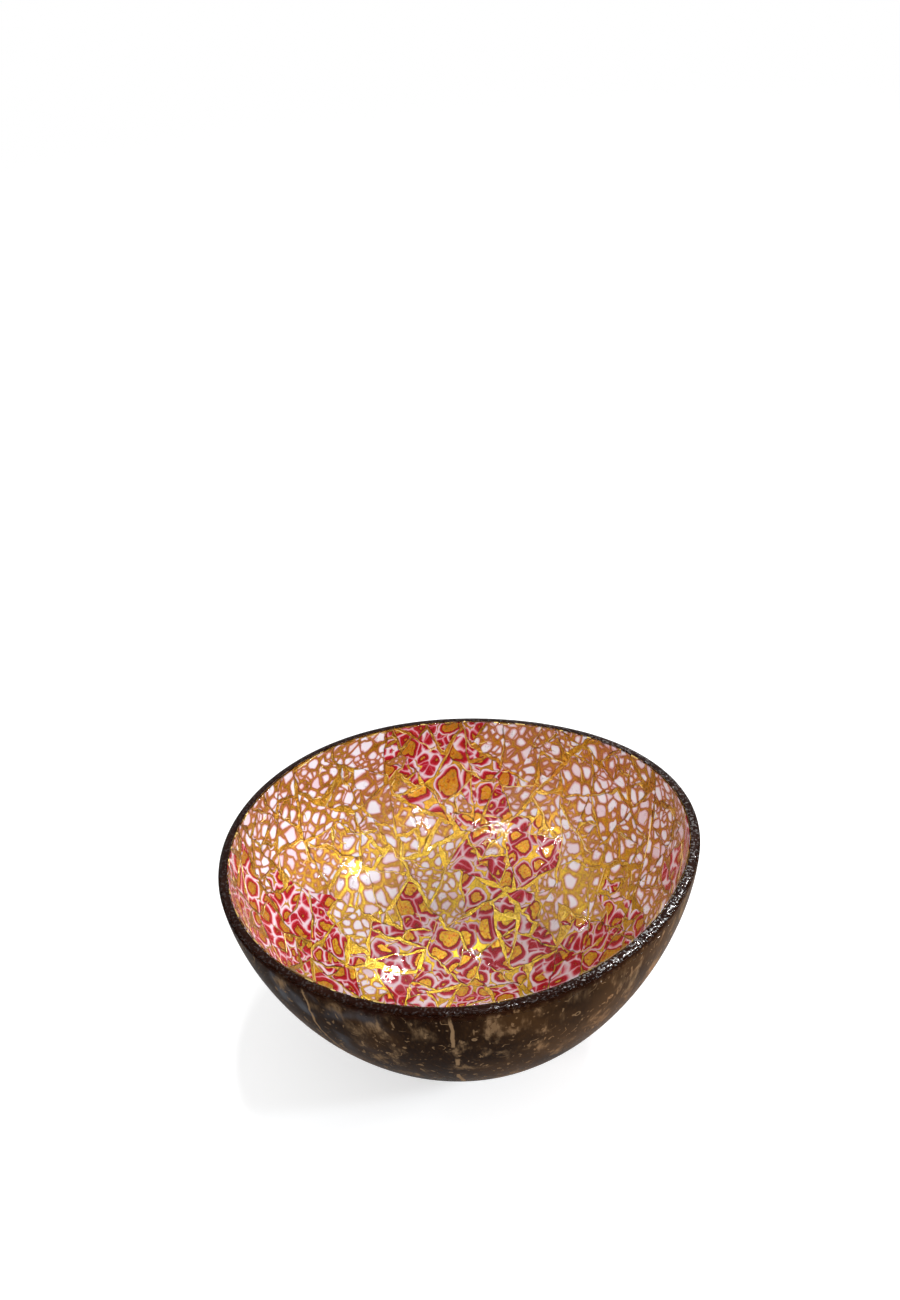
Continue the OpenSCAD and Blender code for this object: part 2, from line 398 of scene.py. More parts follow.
class Profile:
    """Outline of the bowl in one upright half plane, as (radius, depth below the rim)."""

    def __init__(self, sizes):
        self.sizes = sizes
        self.radius = sizes.rim_d / 2
        self.depth = sizes.height + sizes.foot_cut

    def point(self, t):
        angle = math.pi / 2 * t
        return (self.radius * max(0, math.cos(angle)) ** (2 / BASE_POWER),
                self.depth * math.sin(angle) ** (2 / SIDE_POWER))

    def outward(self, t):
        r, d = self.point(t)
        x = BASE_POWER / self.radius * (r / self.radius) ** (BASE_POWER - 1)
        y = SIDE_POWER / self.depth * (d / self.depth) ** (SIDE_POWER - 1)
        return x / math.hypot(x, y), y / math.hypot(x, y)

    def inset(self, t, distance):
        (r, d), (x, y) = self.point(t), self.outward(t)
        return r - distance * x, d - distance * y

    def lining(self, t, distance):
        wall = self.sizes.rim_wall + (self.sizes.pole_wall - self.sizes.rim_wall) * t * t
        return self.inset(t, wall + distance)

    def share_at(self, depth):
        return math.asin((depth / self.depth) ** (SIDE_POWER / 2)) / (math.pi / 2)

    def rim_edge(self, coat, side):
        """The rounded cut of the rim under a coat, thinner on its side than on its top."""
        drop, width = self.sizes.rim_round, self.sizes.rim_wall
        start = self.radius - self.point(self.share_at(drop))[0]
        points = []
        for i in range(EDGE_STEPS + 1):
            angle = math.pi / 2 * i / EDGE_STEPS
            points.append((
                self.radius - start * math.cos(angle) - width + (width + side) * math.cos(angle),
                drop - (drop + coat) * math.sin(angle)))
        return points

    def layer(self, near, far):
        down = [i / INNER_ROWS for i in range(INNER_ROWS + 1)]
        return [self.lining(t, near) for t in reversed(down)] + [self.lining(t, far) for t in down]


def plan_factor(sizes, angle):
    return 1 + (sizes.oval * math.cos(2 * angle)
                + sizes.lobe * math.cos(3 * (angle - SEAM_ANGLE))
                + sizes.uneven * math.sin(4 * angle)) / (sizes.rim_d / 2)


def on_lining(sizes, degrees, share):
    """Point of the lining for a direction and a share of the way from rim to base."""
    angle = math.radians(degrees)
    r, d = Profile(sizes).lining(share, sizes.ground_t + sizes.gold_t)
    r *= plan_factor(sizes, angle)
    return Vector((r * math.cos(angle), r * math.sin(angle), sizes.height - d))


def is_red(sizes, spot, stray):
    """Whether a shard with its middle at this spot is red."""
    return any((spot - on_lining(sizes, direction, share)).length < reach * sizes.rim_d / 2 + stray
               for direction, share, reach in RED_SPOTS)


def cut_across(shape, first, second, share, turn):
    """Cuts a flat convex shape in two, across the line from its first to its second point."""
    way = shape[second] - shape[first]
    point = shape[first] + way * share
    normal = way.normalized()
    normal.rotate(Matrix.Rotation(turn, 2))
    halves = ([], [])
    for here, there in zip(shape, shape[1:] + shape[:1]):
        side, next_side = ((q - point).dot(normal) for q in (here, there))
        halves[side > 0].append(here)
        if (side > 0) != (next_side > 0):
            crossing = here.lerp(there, side / (side - next_side))
            for half in halves:
                half.append(crossing)
    return halves


def break_lining(sizes):
    """Outlines of the shards on the bed, as (points, is red), broken from one round sheet.

    The sheet is a map of the lining with the rim as a circle of radius one."""
    lots = random.Random(SEED)
    noise.seed_set(SEED)

    def on_bed(spot):
        away = min(1, spot.length)
        bend = Vector((0, 0, 0))
        for waves, share, level in SHEET_WAVES:
            bend += noise.noise_vector(Vector((spot.x * waves, spot.y * waves, level))) * share
        spot = spot + Vector(bend[:2]) * SHEET_BEND * (1 - away ** 8)
        return on_lining(sizes, math.degrees(math.atan2(spot.y, spot.x)),
                         min(1, max(0, 1 - spot.length)))

    turns = [2 * math.pi * i / RIM_POINTS for i in range(RIM_POINTS)]
    sheets = [[Vector((math.cos(a), math.sin(a))) for a in turns]]
    shards = []
    while sheets:
        shape = sheets.pop()
        spots = [on_bed(q) for q in shape]
        pairs = [(i, j) for i in range(len(shape)) for j in range(i)]
        first, second = max(pairs, key=lambda p: (spots[p[0]] - spots[p[1]]).length)
        reach = (spots[first] - spots[second]).length
        middle = sum(shape, Vector((0, 0))) / len(shape)
        spot = on_bed(middle)
        small = RED_SMALL_SHARE if is_red(sizes, spot, 0) else SMALL_SHARE
        limits = SMALL_REACH if lots.random() < small else SHARD_REACH
        if reach > lots.uniform(*limits):
            halves = cut_across(shape, first, second, lots.uniform(*CUT_SPAN),
                                lots.uniform(-CUT_TURN, CUT_TURN))
            sheets += [half for half in halves if len(half) > 2]
            continue
        bare = lots.random() < BARE_SHARE
        red = is_red(sizes, spot, lots.uniform(-COLOUR_STRAY, COLOUR_STRAY))
        joint = JOINT[0] + (JOINT[1] - JOINT[0]) * lots.random() ** 3
        shrink = 1 - joint / (reach * HALF_WIDTH)
        turn = Matrix.Rotation(lots.uniform(-1, 1) * SHARD_TURN, 2)
        rim_shard = any(corner.length > AT_RIM for corner in shape)
        outline = []
        for here, there in zip(shape, shape[1:] + shape[:1]):
            for corner in (here, here.lerp(there, lots.uniform(0.4, 0.6))):
                at_rim = corner.length > AT_RIM
                pull = 1 - (1 - shrink) * (RIM_JOINT if at_rim else 1)
                arm = (corner - middle) * pull
                place = on_bed(middle + (arm if rim_shard else turn @ arm))
                stray = Vector(lots.uniform(-1, 1) for _ in range(3)) * CORNER_STRAY
                outline.append(place + stray * (0 if at_rim else 1))
        if not (bare and reach < BARE_REACH) and shrink > LEAST_LEFT:
            shards.append((outline, red))
    return shards


def shard_mesh(name, outlines):
    mesh = bpy.data.meshes.new(name)
    faces, start = [], 0
    for outline in outlines:
        faces.append(range(start, start + len(outline)))
        start += len(outline)
    mesh.from_pydata([point for outline in outlines for point in outline], [], faces)
    return mesh


def new_tree(name, numbers, others):
    """The writer of a new geometry tree and the values of its named inputs."""
    group = bpy.data.node_groups.new(name, "GeometryNodeTree")
    group.interface.new_socket("Geometry", in_out="OUTPUT", socket_type="NodeSocketGeometry")
    kinds = {"Geometry": "Geometry", **others, **dict.fromkeys(numbers, "Float"),
             "Material": "Material"}
    for label, kind in kinds.items():
        group.interface.new_socket(label, in_out="INPUT", socket_type="NodeSocket" + kind)
    tree = Tree(group)
    start = tree.add("NodeGroupInput")
    return tree, {s.name: Value(tree, s) for s in start.socket.node.outputs if s.name}


def finish_tree(tree, geometry, given):
    real = tree.add("GeometryNodeRealizeInstances", {"Geometry": geometry})
    dressed = tree.add("GeometryNodeSetMaterial", {
        "Geometry": real, "Material": given["Material"]})
    tree.add("NodeGroupOutput", {"Geometry": dressed})
    return tree.group


def new_object(name, data):
    made = bpy.data.objects.new(name, data)
    bpy.context.scene.collection.objects.link(made)
    return made


def grow(name, mesh, group, values):
    """The plain mesh object that a geometry tree makes with these inputs."""
    seed_piece = new_object(name + "_seed", mesh)
    modifier = seed_piece.modifiers.new("Tree", "NODES")
    modifier.node_group = group
    for item in group.interface.items_tree:
        if item.in_out == "INPUT" and item.name in values:
            modifier[item.identifier] = values[item.name]
    graph = bpy.context.evaluated_depsgraph_get()
    graph.update()
    grown = bpy.data.meshes.new_from_object(
        seed_piece.evaluated_get(graph), preserve_all_data_layers=True, depsgraph=graph)
    grown.name = name
    seed_piece.modifiers.remove(modifier)
    bpy.data.objects.remove(seed_piece)
    return new_object(name, grown)


def settle(piece, node):
    """The piece stands for its node, whose part is hidden, and rides on the bowl."""
    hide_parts(node)
    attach(piece, "root")


def round_the_bowl(tree, given, angle, radius):
    """Lobed radius and rise of the rim for a direction, as the nut gives them."""
    def turn(factor, phase):
        return tree.math("COSINE", (angle - phase) * factor)
    plan = (given["Oval"] * turn(2, 0)
            + given["Lobe"] * turn(3, SEAM_ANGLE)
            + given["Uneven"] * tree.math("SINE", angle * 4)) / given["Radius"] + 1
    rise = (given["Rim Lean"] * turn(1, LEAN_ANGLE)
            + given["Rim Wave"] * turn(2, WAVE_ANGLE)) * radius / given["Radius"]
    return radius * plan, rise


def sweep_tree():
    """Sweeps an outline of points round the bowl, over its lobes and under its wavy rim."""
    made = bpy.data.node_groups.get("Sweep round the bowl")
    if made:
        return made
    tree, given = new_tree("Sweep round the bowl", (
        "Radius", "Height", "Oval", "Lobe", "Uneven", "Rim Lean", "Rim Wave", "Ripple",
        "Ripple Pitch"), {"Sides": "Int"})
    position = tree.add("GeometryNodeInputPosition")
    rows = tree.add("GeometryNodeAttributeDomainSize", {
        "Geometry": given["Geometry"]}, "Point Count")
    grid = tree.add("GeometryNodeMeshGrid", {
        "Vertices X": given["Sides"] + 1, "Vertices Y": rows})
    across, along, _ = position.split()
    row = tree.math("ROUND", (along + 0.5) * (rows - 1))
    outline = tree.add("GeometryNodeSampleIndex", {
        "Geometry": given["Geometry"], "Value": position, "Index": row}, data_type="FLOAT_VECTOR")
    reach, _, level = outline.split()
    angle = (across + 0.5) * (2 * math.pi)
    radius, rise = round_the_bowl(tree, given, angle, reach)
    place = tree.join(radius * tree.math("COSINE", angle), radius * tree.math("SINE", angle),
                      given["Height"] + level + rise)
    swept = grid.stored("along", along + 0.5, "FLOAT").moved(Position=place)
    closed = tree.add("GeometryNodeMergeByDistance", {"Geometry": swept, "Distance": MERGE_GAP})
    ripple = (position.noise(1 / given["Ripple Pitch"], 1.5) - 0.5) * given["Ripple"]
    rippled = closed.moved(Offset=tree.add("GeometryNodeInputNormal").scaled(ripple))
    smooth = tree.add("GeometryNodeSetShadeSmooth", {"Geometry": rippled})
    return finish_tree(tree, smooth, given)


def sweep(name, sizes, outline, material, ripple=0.0):
    """The piece that an outline of (radius, depth) points makes when swept round."""
    mesh = bpy.data.meshes.new(name + "_outline")
    edges = [(i, i + 1) for i in range(len(outline) - 1)]
    mesh.from_pydata([(r, 0, -d) for r, d in outline], edges, [])
    return grow(name, mesh, sweep_tree(), {
        "Sides": SIDES, "Radius": sizes.rim_d / 2, "Height": sizes.height, "Oval": sizes.oval,
        "Lobe": sizes.lobe, "Uneven": sizes.uneven, "Rim Lean": sizes.rim_lean,
        "Rim Wave": sizes.rim_wave, "Ripple": ripple, "Ripple Pitch": WAVE_PITCH,
        "Material": material})


def sweep_coat(name, sizes, near, thickness, material, ripple=0.0):
    """A coat of the lining that starts at a distance inwards from the shell."""
    outline = Profile(sizes).layer(near, near + thickness)
    return sweep(name, sizes, outline, material, ripple)


def cut_foot(piece):
    """Sands the piece flat at the height of zero and closes the foot."""
    shape = bmesh.new()
    shape.from_mesh(piece.data)
    everything = shape.verts[:] + shape.edges[:] + shape.faces[:]
    cut = bmesh.ops.bisect_plane(shape, geom=everything, plane_co=(0, 0, 0),
                                 plane_no=(0, 0, 1), clear_inner=True)
    rim = [e for e in cut["geom_cut"] if isinstance(e, bmesh.types.BMEdge)]
    for face in bmesh.ops.contextual_create(shape, geom=rim)["faces"]:
        face.smooth = False
    bmesh.ops.recalc_face_normals(shape, faces=shape.faces[:])
    shape.to_mesh(piece.data)
    shape.free()


def seam_line(tree, place, direction, sway, width):
    """A thin wavy line down the shell at a direction, 1 on the line and 0 off it."""
    angle = math.radians(direction)
    x, y, z = place.split()
    across = y * math.cos(angle) - x * math.sin(angle)
    front = (x * math.cos(angle) + y * math.sin(angle)) > 0
    level = tree.join(direction * 0.7, 0.0, z)
    drift = (level.noise(0.075, 3, rough=0.6) - 0.5) * sway
    body = width * (0.3 + place.noise(0.2) * 1.3)
    line = 1 - abs(across + drift).step(body * 0.5, body)
    return line * front * level.noise(0.11, 1).step(0.42, 0.47)


def shell_material(colours):
    """Dark grained shell with pale fibres, curls, rings, specks and seams, with a painted warm glow
    towards the right and lower right and a painted bluish sheen on the left front. Places are in
    mm.
    """
    tree = new_material("Polished coconut shell")
    place = tree.here().scaled(1000)
    x, y, z = place.split()
    grain_place = place * (1, 1, 0.3)
    right = x.step(-10, 62)
    low = 1 - z.step(12, 52)
    cloud = place.noise(0.045, 3)
    # warm mixes the shell's own browner clouds with a painted warm glow that grows towards the
    # right and the lower right, a painted warm reflection
    warm = (cloud + right * 0.28 + right * low * 0.2).step(0.42, 0.86)
    body = warm.blend(colours.shell, colours.shell_warm_and_glow)
    grain = grain_place.noise(1.1, 4, rough=0.62)
    body = (grain.step(0.42, 0.78) * 0.35).blend(body, colours.shell_warm_and_glow)
    # Painted bluish sheen: a painted reflection laid into the shell's colour on its left front, at
    # mid height
    painted_sheen = place.noise(0.07).step(0.5, 0.66)
    painted_sheen = painted_sheen * (-0.78 * x - 0.62 * y).step(53, 64) * z.step(22, 40)
    body = (painted_sheen * (0.3 + grain)).blend(body, SHEEN_PAINT)
    crowd = (place.noise(0.05, 1) + right * 0.07).step(0.38, 0.6)
    shape = (place * (1, 1, 0.65)).noise(0.15, bend=0.4)
    streak = grain_place.noise(1.6)
    mottle = grain_place.noise(0.75, 3, rough=0.6)
    blotch = (shape + (streak - 0.5) * 0.1 + (mottle - 0.5) * 0.24).step(0.52, 0.74)
    blotch = blotch * crowd * (0.35 + mottle.step(0.3, 0.62) * 0.75)
    stroke = (place * (1, 1, 0.45)).noise(0.55, 1.5, bend=0.4).step(0.665, 0.7)
    contour = abs(place.noise(0.16, 1.5, bend=0.5) - 0.5)
    curl = (1 - contour.step(0.003, 0.01)) * place.noise(0.3, 0).step(0.6, 0.64)
    dots = place.cells(0.22)
    lot = tree.add("ShaderNodeSeparateColor", {0: dots.other("Color")})
    ring = 1 - abs(dots * 4.5 - 0.8).step(0.1, 0.26)
    ring = ring * (lot > 0.94)
    speck = 1 - (place.cells(0.42) + (mottle - 0.5) * 0.25).step(0.06, 0.2)
    lines = [seam_line(tree, place, *line) for line in SHELL_LINES]
    pale = tree.most(blotch * (0.5 + streak * 0.6), stroke * 0.6, curl * 0.8, ring * 0.8,
                     speck * 0.45, *lines)
    soaked = (tree.attribute("along") + (mottle - 0.5) * 0.04).step(0.48, 0.49)
    body = (soaked * 0.8).blend(body, colours.rim)
    pale = pale * (1 - soaked * 0.85)
    # Fibres on the right are painted lighter and tan, as part of the painted warm glow
    fibre = (right * cloud.step(0.4, 0.6)).blend(colours.fibre, colours.fibre_in_glow)
    normal = tree.bump(place.noise(2.2, 3) * 0.6 + pale * 0.5, 0.05 * MM)
    return glazed(tree, (pale * 0.85).blend(body, fibre),
                  0.34 + pale * 0.16 + grain.step(0.3, 0.8) * 0.1, normal, {"IOR": 1.035})


def rim_material(colours):
    """Glossy and grainy on the cut of the rim, soaked into the shell on the outside."""
    tree = new_material("Dark rim lacquer")
    place = tree.here()
    x, y, _ = place.split()
    upward = tree.add("ShaderNodeTexCoord", out="Normal").split()[2]
    grain = place.noise(2000)
    cloud = place.noise(90)
    # Small pale specks scattered round the rim
    pale_specks = 1 - place.cells(420).step(0.06, 0.12)
    pale_specks = pale_specks * place.noise(60, 0).step(0.6, 0.66)
    body = cloud.step(0.45, 0.8).blend(colours.rim, RIM_CLOUD)
    colour = (pale_specks * 0.7).blend(body, PALE_SPECKS)
    worn = x.step(-10 * MM, 60 * MM) * 0.4 + (x * 0.77 - y * 0.64).step(54 * MM, 67 * MM) * 0.6
    normal = tree.bump(grain * (worn + 0.5) + cloud * 2, 0.1 * MM)
    matt = tree.glaze(colour, 0.4 + cloud * 0.2, normal, {"IOR": 1.06})
    gloss = tree.glaze(colour, 0.06 + cloud * 0.06, normal, {"IOR": 1.1})
    spark = tree.add("ShaderNodeBsdfGlossy", {
        "Color": WHITE, "Roughness": 0.18, "Normal": normal})
    flecks = place.noise(1500, 1)
    fleck = flecks.step(0.4, 0.5) * 0.01 + flecks.step(0.57, 0.61) * 0.34
    gloss = (fleck * (worn * 0.9 + 0.1)).mix(gloss, spark)
    coat = upward.step(0.2, 0.7).mix(matt, gloss)
    along = tree.attribute("along")
    height = tree.math("MINIMUM", along, 1 - along)
    ragged = (place.noise(260) - 0.5) * 0.08
    height = height + ragged * (1 - height.step(0.42, 0.46) * 0.9)
    covered = height.step(0.26, 0.4) * (1 - height.step(0.468, 0.482))
    return finished(tree, covered.mix(tree.add("ShaderNodeBsdfTransparent"), coat))


def ground_material(colours):
    tree = new_material("Pale ground coat")
    cloud = tree.here().noise(220, 3)
    colour = cloud.step(0.45, 0.7).blend(colours.ground, colours.blush)
    return glazed(tree, colour, 0.5 + cloud * 0.2, tree.bump(cloud, 0.05 * MM), {})


def gold_look(colours, place):
    """Colour and fine grain of the gold lacquer, at a place in metres, painted brighter and
    yellower low in the bowl as a painted glow.
    """
    cloud = place.noise(55, 3)
    level = place.split()[2]
    # Painted glow: the gold turns brighter and yellower low in the bowl, standing in for the lamps'
    # reflection, and stays a darker ochre up the walls
    thick_slivers_and_painted_glow = 1 - (level + (cloud - 0.5) * 24 * MM).step(18 * MM, 50 * MM)
    leaf = place.noise(900, 3, rough=0.65)
    patch = (cloud * 0.5 + leaf * 0.5).step(0.38, 0.62)
    colour = (patch * 0.5 + thick_slivers_and_painted_glow * 0.5).blend(colours.gold_deep, colours.gold)
    speckle = place.noise(1700, rough=0.65).step(0.46, 0.58)
    stain = place.noise(210).step(0.46, 0.66)
    colour = ((speckle * 0.6 + stain * 0.35) * (1 - thick_slivers_and_painted_glow * 0.2)).blend(colour, GOLD_STAIN)
    return colour, leaf


def gold_material(colours):
    tree = new_material("Gold lacquer")
    place = tree.here()
    colour, leaf = gold_look(colours, place)
    ridge = 1 - abs(place.noise(120, bend=0.5) - 0.5).step(0.0, 0.03)
    normal = tree.bump(ridge * 0.3 + leaf * 1.6, 0.25 * MM)
    # The raised veins are real relief through the bump and are also painted a paler gold as a
    # painted glint
    return glazed(tree, (ridge * 0.5).blend(colour, GOLD_RIDGE_GLINT), 0.22 + leaf * 0.16, normal,
                  {"Metallic": 0.85})


def sliver_material():
    tree = new_material("Bright gold sliver")
    leaf = tree.here().noise(900)
    return glazed(tree, leaf.blend(SLIVER_DARK, SLIVER_BRIGHT), 0.26 + leaf * 0.12,
                  tree.bump(leaf, 0.05 * MM), {"Metallic": 0.9})


def film_place(tree, bend):
    """Place on the painted film in millimetres, bent and plain, and the shard's own lot."""
    flat = tree.attribute("film", "Vector") * (1000, 1000, 1000)
    push = flat.flat_noise(0.17).other("Color")
    fine = flat.flat_noise(0.75).other("Color")
    bent = flat + (push - 0.5) * (bend, bend, 0) + (fine - 0.5) * (0.35, 0.35, 0)
    return bent, flat, flat.split()[2]


def pebbles(tree, place, pitch, gap, least):
    """Depth inside rounded cells in millimetres, their border, and the lots of each cell."""
    sockets = {"Vector": place, "Scale": 1 / pitch, "Randomness": CELL_RANDOMNESS}
    border, middle = (
        tree.add("ShaderNodeTexVoronoi", sockets, voronoi_dimensions="2D", feature=feature)
        for feature in ("DISTANCE_TO_EDGE", "F1"))
    border = border * pitch
    lot = tree.add("ShaderNodeSeparateColor", {0: middle.other("Color")})
    size = (lot * CELL_SPREAD + least) * pitch
    depth = tree.math("SMOOTH_MIN", border - gap, size - middle * pitch, 0.36 * pitch)
    return depth, border, lot


def mixed_cells(tree, place, flat, coarse, fine, gap, least):
    """Depth and tint of large cells, some of which are broken into small ones."""
    big, border, lot = pebbles(tree, place, coarse, gap, least)
    small, _, small_lot = pebbles(tree, place, fine, gap, least)
    crowd = flat.flat_noise(0.06, 0)
    near_rim = tree.here().split()[2].step(46 * MM, 62 * MM)
    broken = (lot.other("Blue") + crowd * 1.4 + near_rim * 0.2) > 1.42
    small = tree.math("MINIMUM", small, border - gap * 0.4)
    tint = broken.blend(lot.other("Green"), small_lot.other("Green"), "FLOAT")
    return broken.blend(big, small, "FLOAT"), tint


def shard_edge(tree, colours, colour, share):
    """Darkens a colour along the cut edge of a shard."""
    return (tree.attribute("edge").step(0.2, 0.8) * share).blend(colour, colours.seam)


def white_film_material(colours):
    """White pebbles with reddish rings in a gold net."""
    tree = new_material("White pebbled film")
    place, flat, own = film_place(tree, 1.3)
    width = flat.flat_noise(0.13)
    gap = 0.12 + own * 0.22 + width.step(0.38, 0.75) * 0.5
    depth, tint = mixed_cells(tree, place, flat, 4.2, 2.5, gap, 0.43)
    pebble = depth.step(-0.04, 0.14)
    ring = depth.step(-0.72, -0.08) * (1 - pebble)
    object_place = tree.here()
    gold, leaf = gold_look(colours, object_place)
    shade = ((tint + own * 0.3).step(0.6, 1.2) * 0.6).blend(colours.white, PEBBLE_PINK)
    shade = depth.step(0.05, 0.6).blend(PEBBLE_EDGE, shade)
    vein = 1 - abs(flat.flat_noise(0.42, 2) - 0.5).step(0.0, 0.016)
    vein = vein * flat.flat_noise(0.09, 0).step(0.5, 0.6)
    shade = (vein * 0.6).blend(shade, PEBBLE_VEIN)
    high = object_place.split()[2].step(15 * MM, 50 * MM)
    net = (ring * (0.45 + high * 0.35)).blend(gold, colours.blush)
    colour = shard_edge(tree, colours, pebble.blend(net, shade), 0.5)
    normal = tree.bump(pebble * 0.7 + leaf * 0.15 + width, 0.1 * MM)
    return glazed(tree, colour, 0.28 + leaf * 0.1, normal, {
        "Metallic": (1 - pebble) * (1 - ring) * 0.7, "Specular IOR Level": FILM_SHINE})


def red_film_material(colours):
    """Crimson rings round amber hearts, in a rose net with gold between."""
    tree = new_material("Red ringed film")
    place, flat, own = film_place(tree, 2.0)
    width = flat.flat_noise(0.15)
    gap = 0.2 + width.step(0.42, 0.8) * 0.6
    depth, tint = mixed_cells(tree, place, flat, 6.8, 3.6, gap, 0.42)
    mottle = flat.flat_noise(1.1, 4, rough=0.65)
    cell = depth.step(-0.24, 0.12)
    heart = depth + (mottle - 0.5) * 0.6 - tint * 0.5 - own.step(0.3, 1.0) * 0.35
    core = heart.step(0.46, 0.7)
    line = heart.step(0.22, 0.5) * (1 - core)
    halo = depth.step(-0.85, -0.05)
    gold, leaf = gold_look(colours, tree.here())
    amber = mottle.step(0.36, 0.62).blend(colours.amber, gold)
    fleck = 1 - mottle.step(0.3, 0.46)
    amber = (fleck * 0.85).blend(amber, AMBER_FLECK)
    rose = (halo * halo * 0.9).blend(ROSE_PALE, ROSE_DEEP)
    ring = depth.step(0.0, 0.2 + tint * 0.5).blend(RING_OUTER, colours.red)
    ring = (line * 0.8).blend(ring, RING_LINE)
    outer = depth + own * 0.8 + (mottle - 0.5) * 0.2
    rose = (1 - outer.step(-0.62, -0.5)).blend(rose, colours.blush)
    between = 1 - outer.step(-0.74, -0.62)
    rose = between.blend(rose, gold)
    colour = core.blend(cell.blend(rose, ring), amber)
    normal = tree.bump(cell * 0.5 + core * 0.3 + leaf * 0.2 + width, 0.1 * MM)
    return glazed(tree, shard_edge(tree, colours, colour, 0.85), 0.28 + leaf * 0.12, normal, {
        "Metallic": tree.most(core * 0.4, between * 0.6), "Specular IOR Level": FILM_SHINE})


def clear_material():
    """Mirrors a little, more at a slant, and lets the lining show through."""
    tree = new_material("Clear lacquer")
    place = tree.here()
    normal = tree.bump(place.noise(110, 1) * 2.0 + place.noise(330, 1, bend=0.4) * 1.1, 0.18 * MM)
    gloss = tree.add("ShaderNodeBsdfGlossy", {
        "Color": WHITE, "Roughness": 0.05, "Normal": normal})
    share = tree.add("ShaderNodeFresnel", {"IOR": 1.36, "Normal": normal})
    under = tree.add("ShaderNodeNewGeometry", out="Backfacing")
    glass = tree.add("ShaderNodeBsdfTransparent")
    return finished(tree, (share * (1 - under)).mix(glass, gloss))


def draw(tree, given, extra, low, high, kind="FLOAT"):
    """A random number for each element, of its own seed."""
    return tree.add("FunctionNodeRandomValue", {
        "Min": low, "Max": high, "Seed": given["Seed"] + extra}, data_type=kind)


def snap(tree, given, place, lift=None):
    """The bed's nearest point that faces the middle, lifted off it towards the middle."""
    bed = tree.add("GeometryNodeObjectInfo", {"Object": given["Bed"]}, "Geometry")
    inward = tree.math("NORMALIZE", given["Middle"] - place)
    near = tree.add("GeometryNodeProximity", {
        0: bed, "Sample Position": place + inward.scaled(MM)})
    return near + inward.scaled(lift) if lift else near


def swayed(position, size):
    """A position moved aside so that the joints between the shards run in curves."""
    return position + position.stray(210, 1.5).scaled(size)


def film_map(tree, position, mid, facing, lots):
    """Place on a shard's film: turned, stretched and shifted by the shard's own lots."""
    turn, left, right = lots.split()
    side = tree.math("NORMALIZE", tree.math("CROSS_PRODUCT", facing, (0.01, 0.02, 1)))
    down = tree.math("CROSS_PRODUCT", facing, side)
    u, v = (tree.math("DOT_PRODUCT", position - mid, way) for way in (side, down))
    angle = turn * (2 * math.pi)
    cosine, sine = tree.math("COSINE", angle), tree.math("SINE", angle)
    stretch, size = left * 0.35 + 0.85, right * 0.5 + 0.68
    return tree.join((u * cosine - v * sine) * stretch * size + left * 0.4,
                     (u * sine + v * cosine) / stretch * size + right * 0.4, turn * MM)


LAID_INPUTS = {"Bed": "Object", "Middle": "Vector", "Seed": "Int"}


def shards_tree():
    """Lays shards of film on the bed: snapped to it, thickened and with a soft edge."""
    made = bpy.data.node_groups.get("Laid shards")
    if made:
        return made
    tree, given = new_tree(
        "Laid shards", ("Thickness", "Lip", "Sway", "Raggedness"), LAID_INPUTS)
    position = tree.add("GeometryNodeInputPosition")
    own = {
        "mid": position,
        "facing": tree.add("GeometryNodeInputNormal"),
        "lots": draw(tree, given, 3, (0, 0, 0), (1, 1, 1), "FLOAT_VECTOR"),
    }
    stored = given["Geometry"]
    for name, value in own.items():
        stored = stored.stored(name, value, domain="FACE")
    mid, facing, lots = (
        tree.add("GeometryNodeInputNamedAttribute", {"Name": name}, "Attribute",
                 data_type="FLOAT_VECTOR") for name in own)
    flat = tree.add("GeometryNodeTriangulate", {"Mesh": stored})
    fine = tree.add("GeometryNodeSubdivideMesh", {"Mesh": flat, "Level": 2})
    mapped = fine.stored("film", film_map(tree, position, mid, facing, lots))
    ragged = position.stray(600, 1).scaled(given["Raggedness"])
    place = swayed(position, given["Sway"]) + ragged
    snapped = mapped.moved(Position=snap(tree, given, place))
    raised = tree.add("GeometryNodeExtrudeMesh", {
        "Mesh": snapped, "Offset Scale": given["Thickness"] * (lots.split()[2] * 0.4 + 0.3),
        "Individual": False})
    crown = tree.add("GeometryNodeExtrudeMesh", {
        "Mesh": raised, "Selection": raised.other("Top"),
        "Offset Scale": given["Thickness"] * 0.4, "Individual": False})
    top, side = crown.other("Top"), crown.other("Side")
    inner = tree.add("FunctionNodeBooleanMath", {0: top, 1: side})
    outer = tree.add("FunctionNodeBooleanMath", {0: top}, operation="NOT")
    drawn_in = tree.math("NORMALIZE", mid - position).scaled(given["Lip"])
    softened = crown.stored("edge", outer, "FLOAT").moved(Selection=inner, Offset=drawn_in)
    under = tree.add("GeometryNodeFlipFaces", {"Mesh": snapped})
    whole = tree.add("GeometryNodeMergeByDistance", {
        "Geometry": tree.together(under, softened), "Distance": MERGE_GAP})
    smooth = tree.add("GeometryNodeSetShadeSmooth", {"Geometry": whole})
    return finish_tree(tree, smooth, given)


def lay_film(name, sizes, outlines, group, values):
    """The piece that a tree lays on the gold bed from the outlines of shards."""
    return grow(name, shard_mesh(name + "_plan", outlines), group, {
        "Bed": bpy.data.objects["gold_bed"], "Middle": (0, 0, sizes.height * FACED_HEIGHT),
        "Sway": JOINT_SWAY, "Seed": SEED, **values})


def lay_shards(name, sizes, outlines, material):
    return lay_film(name, sizes, outlines, shards_tree(), {
        "Thickness": sizes.shard_t, "Lip": LIP, "Raggedness": RAGGED_EDGE, "Material": material})


